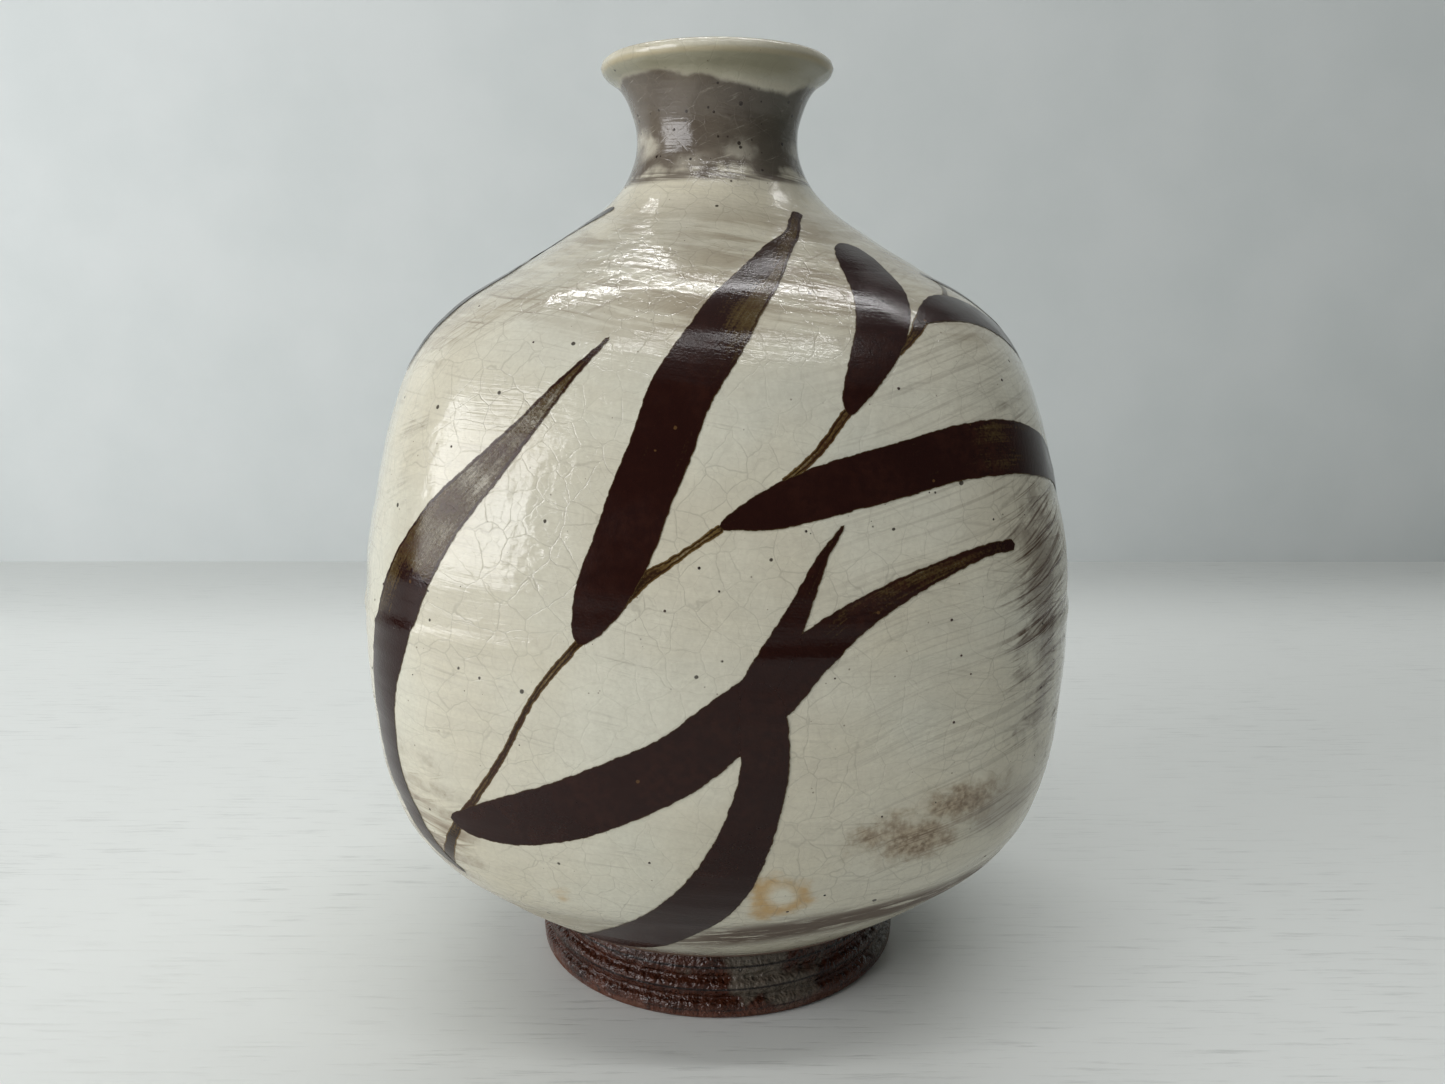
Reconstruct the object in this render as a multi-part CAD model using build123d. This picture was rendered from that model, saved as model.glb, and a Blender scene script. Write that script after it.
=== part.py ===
from build123d import *
from math import atan2, cos, degrees, hypot, radians, sin, sqrt
import os

os.makedirs("parts", exist_ok=True)

# A squared stoneware bottle. Z is up, the foot stands on z = 0 and the painted face looks along -Y.
# Driving dimensions, in millimetres.

# heights of the joints between the thrown pieces
foot_height = 14.0
waist_height = 91.0
neck_joint_height = 171.0
bottle_height = 200.0

# half widths of the glazed belly, from the middle of one face to the axis
base_half_width = 41.0
belly_half_width = 76.2
neck_joint_radius = 23.0

# the neck and its mouth, over the glaze
neck_radius = 17.5
neck_waist_share = 0.43
lip_radius = 24.9
lip_roundness = 1.8
lip_overhang = 3.6
lip_depth = 4.9
lip_arc_start = -35.0
lip_arc_middle = 40.0
lip_arc_end = 115.0
mouth_radius = 12.0
throat_length = 17.0

# the turned foot
foot_radius = 42.4
foot_ring_width = 10.5
foot_recess_depth = 6.0
foot_band_height = 4.2
foot_groove_depth = 1.0
foot_bevel = 0.6
foot_glaze_line = 1.2

# thicknesses
wall = 5.4
floor_thickness = 6.0
slip_coat = 0.4
clear_glaze = 0.4
inner_glaze = slip_coat + clear_glaze
foot_glaze = 0.4
luting = 0.4

# shape of the paddled belly: how much flatter than a circle its faces are, how much tighter its corners
face_flatness = 0.75
corner_tightness = 0.53

# outline of the lower half, from the foot up: share of its widening, share of its rise, squareness
lower_profile = [
    (0.00, 0.00, 0.10),
    (0.27, 0.08, 0.30),
    (0.50, 0.19, 0.55),
    (0.77, 0.34, 0.80),
    (0.93, 0.53, 0.95),
    (0.99, 0.76, 1.00),
    (1.00, 1.00, 1.00),
]

# outline of the upper half, from the waist up: share of its width past the neck, of its rise, squareness
upper_profile = [
    (1.000, 0.00, 1.00),
    (0.985, 0.12, 1.00),
    (0.940, 0.26, 1.00),
    (0.865, 0.46, 0.95),
    (0.770, 0.61, 0.85),
    (0.640, 0.71, 0.70),
    (0.415, 0.81, 0.45),
    (0.200, 0.90, 0.20),
    (0.000, 1.00, 0.00),
]

# depths of the surfaces below the outside of the glaze
slip_depth = clear_glaze
clay_depth = clear_glaze + slip_coat
cavity_depth = clay_depth + wall
liner_depth = cavity_depth + inner_glaze


def cushion_section(half_width, height, squareness):
    """A flat face of four wide arcs and four corner arcs, which is a circle at squareness 0."""
    bulge = face_flatness
    tuck = corner_tightness
    corner_rate = (sqrt(2 * (bulge + tuck) ** 2 - bulge**2) - bulge) / 2
    face_turn = degrees(atan2(corner_rate, corner_rate + bulge))
    face_arc_radius = half_width * (1 + squareness * bulge)
    corner_arc_radius = half_width * (1 - squareness * tuck)
    corner_centre = half_width * squareness * corner_rate
    arcs = []
    for quarter in range(4):
        facing = 90.0 * quarter
        back = face_arc_radius - half_width
        face_centre = (-back * cos(radians(facing)), -back * sin(radians(facing)), height)
        arcs.append(CenterArc(face_centre, face_arc_radius, facing - face_turn, 2 * face_turn))
        diagonal = radians(facing + 45.0)
        reach = corner_centre * sqrt(2)
        corner = (reach * cos(diagonal), reach * sin(diagonal), height)
        arcs.append(CenterArc(corner, corner_arc_radius, facing + face_turn, 90.0 - 2 * face_turn))
    return make_face(Wire(arcs))


# Outlines of the two thrown halves, as stations of (half width, height, squareness).
shoulder_base = waist_height + luting
collar_base = neck_joint_height + luting
lower_flare = belly_half_width - base_half_width
lower_rise = waist_height - foot_height
upper_flare = belly_half_width - neck_joint_radius
upper_rise = neck_joint_height - shoulder_base
lower_stations = [
    (base_half_width + out * lower_flare, foot_height + up * lower_rise, square)
    for out, up, square in lower_profile
]
upper_stations = [
    (neck_joint_radius + out * upper_flare, shoulder_base + up * upper_rise, square)
    for out, up, square in upper_profile
]


def inset_stations(stations, depth):
    """The same outline a constant depth inside it; its two ends stay in their planes."""
    moved = []
    last = len(stations) - 1
    for index, (half_width, height, squareness) in enumerate(stations):
        below = stations[max(index - 1, 0)]
        above = stations[min(index + 1, last)]
        run = above[0] - below[0]
        rise = above[1] - below[1]
        length = hypot(run, rise)
        if index in (0, last):
            moved.append((half_width - depth * length / rise, height, squareness))
        else:
            moved.append((half_width - depth * rise / length, height + depth * run / length, squareness))
    return moved


def belly_solid(stations):
    """One smooth solid through the stations, closed by flat ends."""
    return loft([cushion_section(*station) for station in stations])


def split_faces(solid):
    """The flat bottom, the flat top and the curved side faces of a belly solid."""
    in_order = solid.faces().sort_by(Axis.Z)
    flat = [face for face in in_order if face.geom_type == GeomType.PLANE]
    curved = [face for face in in_order if face.geom_type != GeomType.PLANE]
    return flat[0], flat[-1], curved


def ring_between(outer, inner):
    """The flat ring between the rims of two coplanar end faces."""
    return Face(outer.outer_wire(), [inner.outer_wire()])


def open_coat(outside, inside):
    """A coat between two belly solids, open at both ends."""
    outer_base, outer_rim, outer_sides = split_faces(outside)
    inner_base, inner_rim, inner_sides = split_faces(inside)
    base_ring = ring_between(outer_base, inner_base)
    rim_ring = ring_between(outer_rim, inner_rim)
    return Solid(Shell([*outer_sides, *inner_sides, base_ring, rim_ring]))


def floored_coat(outside, inside):
    """A coat between two belly solids that is open at the rim and closed by a floor."""
    outer_base, outer_rim, outer_sides = split_faces(outside)
    inner_base, inner_rim, inner_sides = split_faces(inside)
    rim_ring = ring_between(outer_rim, inner_rim)
    return Solid(Shell([outer_base, *outer_sides, rim_ring, *inner_sides, inner_base]))


def lower_space(depth):
    """The room inside the lower half, with its flat floor."""
    lift = depth - cavity_depth
    stations = inset_stations(lower_stations, depth)
    floor_squareness = lower_profile[0][2]
    floor_station = (base_half_width - lift, foot_height + floor_thickness + lift, floor_squareness)
    return belly_solid([floor_station] + stations[1:])


def upper_space(depth):
    """The room inside the upper half, which narrows to the mouth."""
    throat_radius = mouth_radius + liner_depth - depth
    stations = inset_stations(upper_stations, depth)
    every_other = stations[:-1:2]
    return belly_solid(every_other + [(throat_radius, neck_joint_height, 0.0)])


def neck_solid(depth):
    """The collar a depth below its glaze: round outside, a rolled lip, a flared mouth, a round throat.

    It leaves the shoulder at 45 degrees, and under the lip it is moved along a 45 degree normal.
    """
    base = (neck_joint_radius - depth * sqrt(2), collar_base)
    waist = (neck_radius - depth, collar_base + neck_waist_share * (bottle_height - collar_base))
    under_lip = (lip_radius - lip_overhang - depth * 0.7, bottle_height - lip_depth + depth * 0.7)
    lip_centre = (lip_radius - lip_roundness, bottle_height - lip_roundness)
    lip_tube = lip_roundness - depth
    lip_points = []
    for turn in (lip_arc_start, lip_arc_middle, lip_arc_end):
        across = lip_centre[0] + lip_tube * cos(radians(turn))
        up = lip_centre[1] + lip_tube * sin(radians(turn))
        lip_points.append((across, up))
    lip_low, lip_side, lip_top = lip_points
    throat_top = (mouth_radius + depth, collar_base + throat_length)
    throat_foot = (mouth_radius + depth, collar_base)
    outside = Spline(base, waist, under_lip, lip_low, tangents=[(-1, 1), (0.62, 0.78)])
    lip = ThreePointArc(lip_low, lip_side, lip_top)
    flare = Spline(lip_top, throat_top, tangents=[(-0.91, -0.42), (0, -1)])
    throat = Line(throat_top, throat_foot)
    underside = Line(throat_foot, base)
    section = make_face(Wire([outside, lip, flare, throat, underside]))
    return revolve(Plane.XZ * section, Axis.Z)


def foot_solid(depth, lowest):
    """The turned foot a depth below its glaze: three bands with a groove between each pair."""
    lower = foot_radius - depth
    middle = foot_radius - foot_groove_depth - depth
    upper = foot_radius - 2 * foot_groove_depth - depth
    top = foot_height - luting
    first = foot_band_height
    second = 2 * foot_band_height
    groove = foot_groove_depth
    points = [
        (0, lowest),
        (lower - foot_bevel, lowest),
        (lower, lowest + foot_bevel),
        (lower, first - groove),
        (middle - groove, first),
        (middle, first + groove),
        (middle, second - groove),
        (upper - groove, second),
        (upper, second + groove),
        (upper - groove, top),
        (0, top),
    ]
    section = make_face(Polyline(points, close=True))
    return revolve(Plane.XZ * section, Axis.Z)


def disc(radius, low, thickness):
    """A flat round disc that starts at one height."""
    return Pos(0, 0, low) * Cylinder(radius, thickness, align=(Align.CENTER, Align.CENTER, Align.MIN))


def make_lower_half():
    """Bowl, its two outer coats and its lining, up to the waist."""
    glazed = belly_solid(lower_stations)
    slipped = belly_solid(inset_stations(lower_stations, slip_depth))
    clay = belly_solid(inset_stations(lower_stations, clay_depth))
    cavity = lower_space(cavity_depth)
    room = lower_space(liner_depth)
    return {
        "lower_clear_glaze": open_coat(glazed, slipped),
        "lower_white_slip": open_coat(slipped, clay),
        "lower_bowl": floored_coat(clay, cavity),
        "lower_inner_glaze": floored_coat(cavity, room),
    }


def make_upper_half():
    """Shoulder, its two outer coats, its lining and the slip that joins it to the bowl."""
    glazed = belly_solid(upper_stations)
    slipped = belly_solid(inset_stations(upper_stations, slip_depth))
    clay = belly_solid(inset_stations(upper_stations, clay_depth))
    cavity = upper_space(cavity_depth)
    room = upper_space(liner_depth)
    rim = cushion_section(belly_half_width, waist_height, 1.0)
    hole = cushion_section(belly_half_width - liner_depth, waist_height, 1.0)
    return {
        "upper_clear_glaze": open_coat(glazed, slipped),
        "upper_white_slip": open_coat(slipped, clay),
        "upper_bowl": open_coat(clay, cavity),
        "upper_inner_glaze": open_coat(cavity, room),
        "waist_luting": extrude(rim - hole, luting),
    }


def make_neck():
    """Collar, its two coats, which wrap over the lip, and the slip that joins it to the shoulder."""
    glazed = neck_solid(0.0)
    slipped = neck_solid(slip_depth)
    clay = neck_solid(clay_depth)
    seam = disc(neck_joint_radius, neck_joint_height, luting)
    return {
        "neck_clear_glaze": glazed - slipped,
        "neck_white_slip": slipped - clay,
        "neck_collar": clay,
        "neck_luting": seam - disc(mouth_radius, neck_joint_height, luting),
    }


def make_foot():
    """Foot ring with its recess, its dark glaze and the slip that joins it to the bowl."""
    clay = foot_solid(foot_glaze, 0.0)
    glazed = foot_solid(0.0, foot_glaze_line)
    top_radius = foot_radius - 3 * foot_groove_depth
    return {
        "foot_ring": clay - disc(foot_radius - foot_ring_width, 0.0, foot_recess_depth),
        "foot_iron_glaze": glazed - clay,
        "foot_luting": disc(top_radius, foot_height - luting, luting),
    }


pieces = {}
pieces.update(make_foot())
pieces.update(make_lower_half())
pieces.update(make_upper_half())
pieces.update(make_neck())

for name, shape in pieces.items():
    export_step(shape, f"parts/{name}.step")
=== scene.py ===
import math
from functools import partial

import bmesh
import bpy
import numpy as np
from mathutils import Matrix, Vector
from mathutils.bvhtree import BVHTree


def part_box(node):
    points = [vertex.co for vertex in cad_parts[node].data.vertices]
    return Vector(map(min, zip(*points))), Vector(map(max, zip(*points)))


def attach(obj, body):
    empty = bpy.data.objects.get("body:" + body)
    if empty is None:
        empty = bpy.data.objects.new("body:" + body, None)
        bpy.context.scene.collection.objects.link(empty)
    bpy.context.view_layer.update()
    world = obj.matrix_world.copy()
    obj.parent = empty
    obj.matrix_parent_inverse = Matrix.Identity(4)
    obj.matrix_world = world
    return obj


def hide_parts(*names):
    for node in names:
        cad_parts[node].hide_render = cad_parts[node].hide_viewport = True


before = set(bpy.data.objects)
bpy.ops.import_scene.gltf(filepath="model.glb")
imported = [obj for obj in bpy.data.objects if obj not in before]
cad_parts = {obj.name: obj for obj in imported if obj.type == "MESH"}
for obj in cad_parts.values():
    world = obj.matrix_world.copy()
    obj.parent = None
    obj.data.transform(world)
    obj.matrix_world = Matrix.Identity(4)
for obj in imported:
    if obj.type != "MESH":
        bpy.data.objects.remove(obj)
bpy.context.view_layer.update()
MM = 0.001

# ---------------------------------------------------------------------------------------------
# The foot is a ring of dark, coarse clay, turned on the wheel with the pot upside down. It has
# three bands with a groove between each pair, a shallow recess underneath and a standing edge
# that is wiped bare; the rest of its outside is dipped in dark iron glaze.
# ---------------------------------------------------------------------------------------------

FOOT_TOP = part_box("foot_ring")[1].z / MM
FOOT_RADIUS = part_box("foot_iron_glaze")[1].x / MM
WIPED_WITHIN = 36.0


def place(tree, kind, inputs=None, **settings):
    """Adds one node, with its settings, and fills its inputs with values or other nodes' outputs."""
    node = tree.nodes.new(kind)
    for name, value in settings.items():
        setattr(node, name, value)
    for name, value in (inputs or {}).items():
        feed(node.inputs[name], value)
    return node


def feed(socket, value):
    """Links an output to an input, or sets the input to a plain value."""
    if isinstance(value, bpy.types.NodeSocket):
        socket.id_data.links.new(value, socket)
    else:
        socket.default_value = value


def tree_of(*values):
    """The node tree that the first output among some values belongs to."""
    return next(value.id_data for value in values if isinstance(value, bpy.types.NodeSocket))


def calculate(operation, *values):
    """One Math node, as its output."""
    inputs = dict(enumerate(values))
    return place(tree_of(*values), "ShaderNodeMath", inputs, operation=operation).outputs[0]


plus = partial(calculate, "ADD")
minus = partial(calculate, "SUBTRACT")
times = partial(calculate, "MULTIPLY")
divided = partial(calculate, "DIVIDE")
highest = partial(calculate, "MAXIMUM")


def vector_step(operation, *values):
    """One Vector Math node, as its outputs."""
    inputs = dict(enumerate(values))
    return place(tree_of(*values), "ShaderNodeVectorMath", inputs, operation=operation).outputs


def scaled(vector, scale):
    """A vector times one number."""
    inputs = {0: vector, "Scale": scale}
    return place(tree_of(vector), "ShaderNodeVectorMath", inputs, operation="SCALE").outputs[0]


def split(vector):
    """A vector's X, Y and Z."""
    return place(tree_of(vector), "ShaderNodeSeparateXYZ", {0: vector}).outputs


def joined(x, y, z):
    """A vector from its X, Y and Z."""
    return place(tree_of(x, y, z), "ShaderNodeCombineXYZ", {0: x, 1: y, 2: z}).outputs[0]


def noise_at(vector, scale=1.0, detail=1.0, roughness=0.5):
    """Smooth noise at a place, as its outputs."""
    inputs = {"Vector": vector, "Scale": scale, "Detail": detail, "Roughness": roughness}
    return place(tree_of(vector), "ShaderNodeTexNoise", inputs).outputs


def ramp(value, low, high, start=0.0, end=1.0):
    """A smooth step from start to end as a value goes from low to high."""
    inputs = {"Value": value, 1: low, 2: high, 3: start, 4: end}
    return place(tree_of(value), "ShaderNodeMapRange", inputs, interpolation_type="SMOOTHSTEP").outputs[0]


def add_socket(tree, name, kind, default=None, output=False):
    """A named socket on a node group, as its identifier."""
    side = "OUTPUT" if output else "INPUT"
    socket = tree.interface.new_socket(name=name, in_out=side, socket_type="NodeSocket" + kind)
    if default is not None:
        socket.default_value = default
    return socket.identifier


# how square the form is at each share of its height, from round (0) to fully paddled (1)
SQUARENESS = (
    (0.0, 0.0), (0.065, 0.06), (0.14, 0.52), (0.20, 0.79), (0.27, 0.95), (0.37, 1.0), (0.55, 1.0),
    (0.64, 0.95), (0.70, 0.84), (0.74, 0.69), (0.78, 0.44), (0.817, 0.2), (0.86, 0.0), (1.0, 0.0),
)
FULL_HEIGHT = 200.0
QUARTER_TURN = math.pi / 2
SAME_PLACE = 0.01
NO_LENGTH = 0.001


def squareness_at(height):
    """The squareness at a height, read from a smooth curve through its stations."""
    square = place(tree_of(height), "ShaderNodeFloatCurve", {"Value": divided(height, FULL_HEIGHT * MM)})
    points = square.mapping.curves[0].points
    while len(points) > 2:
        points.remove(points[-1])
    points[0].location = SQUARENESS[0]
    points[1].location = SQUARENESS[-1]
    for station in SQUARENESS[1:-1]:
        points.new(*station)
    square.mapping.update()
    return square.outputs[0]


def arc_reach(radius, centre, turn, side):
    """How far an arc lies from the axis at a turn from the line that its centre lies on."""
    offset = times(centre, calculate("SINE", turn))
    chord = calculate("SQRT", minus(times(radius, radius), times(offset, offset)))
    return calculate(side, chord, times(centre, calculate("COSINE", turn)))


def paddled_radius(radius, square, turn, flat, tight):
    """The section's reach at a turn: on each side a wide face arc with a tight corner arc at each end."""
    both = plus(flat, tight)
    root = calculate("SQRT", minus(times(2.0, times(both, both)), times(flat, flat)))
    corner_rate = times(minus(root, flat), 0.5)
    share = times(radius, square)
    back = times(share, flat)
    face_radius = plus(radius, back)
    corner_radius = minus(radius, times(share, tight))
    corner_centre = times(times(share, corner_rate), math.sqrt(2))
    quarter = calculate("FLOORED_MODULO", plus(turn, QUARTER_TURN / 2), QUARTER_TURN)
    off_face = calculate("ABSOLUTE", minus(quarter, QUARTER_TURN / 2))
    face_reach = arc_reach(face_radius, back, off_face, "SUBTRACT")
    corner_reach = arc_reach(corner_radius, corner_centre, minus(QUARTER_TURN / 2, off_face), "ADD")
    arc_turn = calculate("ARCTAN2", corner_rate, plus(corner_rate, flat))
    edge_side = times(face_radius, calculate("SINE", arc_turn))
    edge_reach = minus(times(face_radius, calculate("COSINE", arc_turn)), back)
    on_corner = calculate("GREATER_THAN", off_face, calculate("ARCTAN2", edge_side, edge_reach))
    mixed = place(tree_of(radius), "ShaderNodeMix", {0: on_corner, 2: face_reach, 3: corner_reach})
    return mixed.outputs[0]


RIDGE_SWAY = 1.2
RIDGE_TURN = 2.6
LEDGE_DEPTH = 0.55
LEDGE_FADE = 16.0
WOBBLES_PER_METRE = 18.0


def throwing_marks(given, turn, east, north, height):
    """Finger rings that climb as they go round, a slow paddled wobble and the ridge of the joint, in mm."""
    climb = divided(divided(height, MM), given["Ring Spacing"])
    rings = noise_at(joined(times(east, 0.8), times(north, 0.8), climb))["Fac"]
    slow = noise_at(joined(east, north, times(height, WOBBLES_PER_METRE)), scale=1.3)["Fac"]
    marks = plus(times(minus(rings, 0.5), given["Ring Depth"]), times(minus(slow, 0.55), given["Wobble"]))
    ridge_level = plus(given["Ridge Height"], times(calculate("SINE", plus(turn, RIDGE_TURN)), RIDGE_SWAY))
    from_ridge = minus(divided(height, MM), ridge_level)
    ridge = calculate("EXPONENT", times(times(from_ridge, from_ridge), -0.9))
    ledge = times(ramp(from_ridge, -1.0, 1.0, 0.0, -LEDGE_DEPTH), ramp(from_ridge, 0.0, LEDGE_FADE, 1.0, 0.0))
    return plus(marks, times(plus(ridge, ledge), given["Ridge Depth"]))


def make_thrown_form():
    """Geometry nodes that throw an outline round the axis, flatten it to four faces and leave the
    marks of the fingers and the paddle in it."""
    tree = bpy.data.node_groups.new("thrown form", "GeometryNodeTree")
    sockets = {}
    for name, kind, default in (
        ("Outline", "Geometry", None),
        ("Columns", "Int", 320),
        ("Rows", "Int", 240),
        ("Seen Rows", "Float", 0.5),
        ("Seen Length", "Float", 0.5),
        ("Face Flatness", "Float", 0.75),
        ("Corner Tightness", "Float", 0.53),
        ("Ring Depth", "Float", 0.1),
        ("Ring Spacing", "Float", 3.0),
        ("Wobble", "Float", 0.3),
        ("Ridge Height", "Float", 91.0),
        ("Ridge Depth", "Float", 0.0),
        ("Finish", "Material", None),
    ):
        sockets[name] = add_socket(tree, name, kind, default)
    add_socket(tree, "Form", "Geometry", output=True)
    given = tree.nodes.new("NodeGroupInput").outputs

    seam_twice = plus(given["Columns"], 1)
    sizes = {"Size X": 1.0, "Size Y": 1.0, "Vertices X": seam_twice, "Vertices Y": given["Rows"]}
    grid = place(tree, "GeometryNodeMeshGrid", sizes)
    spot = split(place(tree, "GeometryNodeInputPosition").outputs[0])
    turn = times(plus(spot["X"], 0.5), math.tau)
    step = plus(spot["Y"], 0.5)

    # the first share of the rows covers the seen length of the outline, the rest covers what is hidden
    rows, length = given["Seen Rows"], given["Seen Length"]
    seen = place(tree, "ShaderNodeMapRange", {"Value": step, 2: rows, 4: length}).outputs[0]
    hidden = place(tree, "ShaderNodeMapRange", {"Value": step, 1: rows, 3: length}).outputs[0]
    is_hidden = calculate("GREATER_THAN", step, rows)
    along = place(tree, "ShaderNodeMix", {0: is_hidden, 2: seen, 3: hidden}).outputs[0]
    sample = place(
        tree,
        "GeometryNodeSampleCurve",
        {"Curves": given["Outline"], "Factor": along},
        mode="FACTOR",
        data_type="FLOAT_VECTOR",
        use_all_curves=False,
    )
    outline = split(sample.outputs["Position"])
    radius, height = outline["X"], outline["Z"]

    square = squareness_at(height)
    thrown = paddled_radius(radius, square, turn, given["Face Flatness"], given["Corner Tightness"])
    east, north = calculate("SINE", turn), calculate("COSINE", turn)
    marks = throwing_marks(given, turn, east, north, height)
    thrown = highest(plus(thrown, times(marks, times(square, MM))), 0.0)

    position = joined(times(thrown, east), times(thrown, north), height)
    shaped = place(tree, "GeometryNodeSetPosition", {"Geometry": grid.outputs[0], "Position": position})
    merging = {"Geometry": shaped.outputs[0], "Distance": SAME_PLACE * MM}
    closed = place(tree, "GeometryNodeMergeByDistance", merging)
    real = place(tree, "GeometryNodeRealizeInstances", {0: closed.outputs[0]})
    finishing = {"Geometry": real.outputs[0], "Material": given["Finish"]}
    finished = place(tree, "GeometryNodeSetMaterial", finishing)
    feed(tree.nodes.new("NodeGroupOutput").inputs[0], finished.outputs[0])
    return tree, sockets


THROWN_FORM, THROWN_SOCKETS = make_thrown_form()


def draw_outline(name, points, closed):
    """A smooth line through (radius, height) points in millimetres; a third value marks a sharp corner."""
    curve = bpy.data.curves.new(name, "CURVE")
    curve.dimensions = "3D"
    curve.resolution_u = 16
    spline = curve.splines.new("BEZIER")
    spline.bezier_points.add(len(points) - 1)
    spline.use_cyclic_u = closed
    for point, given in zip(spline.bezier_points, points):
        point.co = Vector((given[0] * MM, 0.0, given[1] * MM))
        kind = "VECTOR" if len(given) > 2 else "AUTO"
        point.handle_left_type = point.handle_right_type = kind
    outline = bpy.data.objects.new(name, curve)
    bpy.context.scene.collection.objects.link(outline)
    return outline


def throw_form(name, points, finish, closed=True, **sizes):
    """Throws a closed outline into a plain mesh with its seam and poles joined and its faces outward."""
    outline = draw_outline(name + "_outline", points, closed)
    holder = bpy.data.objects.new(name, outline.data)
    bpy.context.scene.collection.objects.link(holder)
    form = holder.modifiers.new("thrown form", "NODES")
    form.node_group = THROWN_FORM
    for size, value in sizes.items():
        form[THROWN_SOCKETS[size.replace("_", " ").title()]] = value
    form[THROWN_SOCKETS["Finish"]] = finish
    bpy.context.view_layer.update()
    depsgraph = bpy.context.evaluated_depsgraph_get()
    mesh = bpy.data.meshes.new_from_object(holder.evaluated_get(depsgraph), depsgraph=depsgraph)
    bpy.data.objects.remove(holder)
    bpy.data.objects.remove(outline)
    work = bmesh.new()
    work.from_mesh(mesh)
    bmesh.ops.dissolve_degenerate(work, dist=NO_LENGTH * MM, edges=work.edges)
    bmesh.ops.recalc_face_normals(work, faces=work.faces)
    work.to_mesh(mesh)
    work.free()
    mesh.materials.clear()
    mesh.materials.append(finish)
    mesh.shade_smooth()
    piece = bpy.data.objects.new(name, mesh)
    bpy.context.scene.collection.objects.link(piece)
    return piece


def start_material(name):
    """A new material, its tree, its Principled shader and its Object coordinates."""
    material = bpy.data.materials.new(name)
    material.use_nodes = True
    tree = material.node_tree
    shader = tree.nodes["Principled BSDF"]
    place_in_object = tree.nodes.new("ShaderNodeTexCoord").outputs["Object"]
    return material, shader, place_in_object


def dress(shader, colour, gloss, relief=None, strength=0.5, depth=0.3):
    """Gives a shader its colour, its roughness and a fine relief, whose depth is in millimetres."""
    feed(shader.inputs["Base Color"], colour)
    feed(shader.inputs["Roughness"], gloss)
    if relief is not None:
        inputs = {"Height": relief, "Strength": strength, "Distance": depth * MM}
        feed(shader.inputs["Normal"], place(tree_of(relief), "ShaderNodeBump", inputs).outputs[0])


def make_group(name, inputs, outputs):
    """An empty shader node group with named sockets, its inputs and its output node."""
    tree = bpy.data.node_groups.new(name, "ShaderNodeTree")
    for socket, kind, default in inputs:
        add_socket(tree, socket, kind, default)
    for socket in outputs:
        add_socket(tree, socket, "Float", output=True)
    return tree, tree.nodes.new("NodeGroupInput").outputs, tree.nodes.new("NodeGroupOutput")


def use_group(group, **inputs):
    """A node group placed in a material, as its outputs; an input's underscores stand for spaces."""
    node = tree_of(*inputs.values()).nodes.new("ShaderNodeGroup")
    node.node_tree = group
    for name, value in inputs.items():
        feed(node.inputs[name.replace("_", " ").title()], value)
    return node.outputs


def blend(factor, under, over):
    """One colour laid over another."""
    inputs = {0: factor, 6: under, 7: over}
    return place(tree_of(factor), "ShaderNodeMix", inputs, data_type="RGBA").outputs[2]


def make_mottle():
    """Soft clouds of a given size in millimetres."""
    tree, given, result = make_group(
        "mottle", (("Place", "Vector", None), ("Size", "Float", 10.0), ("Detail", "Float", 3.0)), ("Clouds",)
    )
    spot = scaled(given["Place"], divided(1000.0, given["Size"]))
    feed(result.inputs[0], ramp(noise_at(spot, detail=given["Detail"])["Fac"], 0.3, 0.7))
    return tree


def make_specks():
    """Small round specks, of which only a share is shown, each of its own size."""
    tree, given, result = make_group(
        "specks",
        (
            ("Place", "Vector", None),
            ("Spacing", "Float", 4.0),
            ("Size", "Float", 0.4),
            ("Share", "Float", 0.3),
        ),
        ("Mask",),
    )
    spot = scaled(given["Place"], divided(1000.0, given["Spacing"]))
    wander = noise_at(spot, scale=6.0, detail=2.0)["Color"]
    wandered = vector_step("ADD", spot, scaled(wander, 0.06))[0]
    cells = place(tree, "ShaderNodeTexVoronoi", {"Vector": wandered, "Scale": 1.0}).outputs
    chance = place(tree, "ShaderNodeSeparateColor", {0: cells["Color"]}).outputs
    reach = times(given["Size"], ramp(chance[1], 0.0, 1.0, 0.35, 1.2))
    inside = ramp(minus(reach, times(cells["Distance"], given["Spacing"])), -0.03, 0.10)
    feed(result.inputs[0], times(inside, calculate("LESS_THAN", chance[0], given["Share"])))
    return tree


MOTTLE = make_mottle()
SPECKS = make_specks()


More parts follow.
